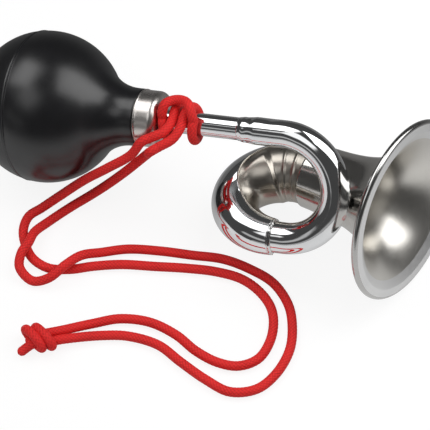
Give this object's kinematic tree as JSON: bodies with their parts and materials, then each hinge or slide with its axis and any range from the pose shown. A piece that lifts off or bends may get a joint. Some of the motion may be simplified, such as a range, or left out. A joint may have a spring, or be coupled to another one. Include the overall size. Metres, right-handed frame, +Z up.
{
  "type": "bulb horn",
  "caption": "Bugle-shaped bulb horn: rubber bulb and reed blow a looped plated tube with a pressed elbow and flared bell; a doubled cord lanyard is hitched to the pipe.",
  "frame": {"origin": "on the table, under the middle of the horn without its lanyard", "axes": "+X from the bulb towards the bell along the lead pipe's course over the table, +Y away from the lanyard, +Z up"},
  "size_m": [0.185, 0.1201, 0.0668],
  "materials": {
    "rubber": "satin moulded rubber",
    "ferrule_plate": "polished nickel",
    "chrome": "mirror plate on sheet brass",
    "satin_plate": "satin nickel plate on sheet brass",
    "brass": "turned",
    "reed_brass": "rolled strip",
    "steel": "drawn wire",
    "solder": "wiped solder",
    "leather": "cut washer",
    "cord": "braided cotton"
  },
  "bodies": {
    "horn": {"bulb_front": "rubber", "neck_ferrule": "ferrule_plate", "neck_sleeve": "brass", "reed_washer": "leather", "reed_block": "brass", "reed_trough": "brass", "reed_clamp": "brass", "reed_screws": "steel", "lead_pipe": "chrome", "loop_tube": "chrome", "elbow_outer": "chrome", "elbow_inner": "satin_plate", "joint_solder": "solder", "bell": "satin_plate", "rim_wire": "steel", "lanyard_hitch": "cord", "lanyard_strand_a": "cord", "lanyard_strand_b": "cord", "lanyard_knot": "cord"},
    "bulb_back": {"bulb_rear": "rubber"},
    "tongue": {"reed_tongue": "reed_brass"}
  },
  "joints": [
    {"name": "bulb_squeeze", "type": "slide", "parent": "horn", "child": "bulb_back", "axis": [0.9641, 0, 0.2656], "range_m": [0, 0.012], "stiffness_N_per_m": 400, "deforming": ["bulb_front"]},
    {"name": "reed_flex", "type": "hinge", "parent": "horn", "child": "tongue", "pos_m": [-0.0272, 0.00535, 0.03865], "axis": [0.1671, 0.7771, -0.6067], "range_deg": [-1.6, 2.2], "stiffness_Nm_per_rad": 0.002}
  ]
}
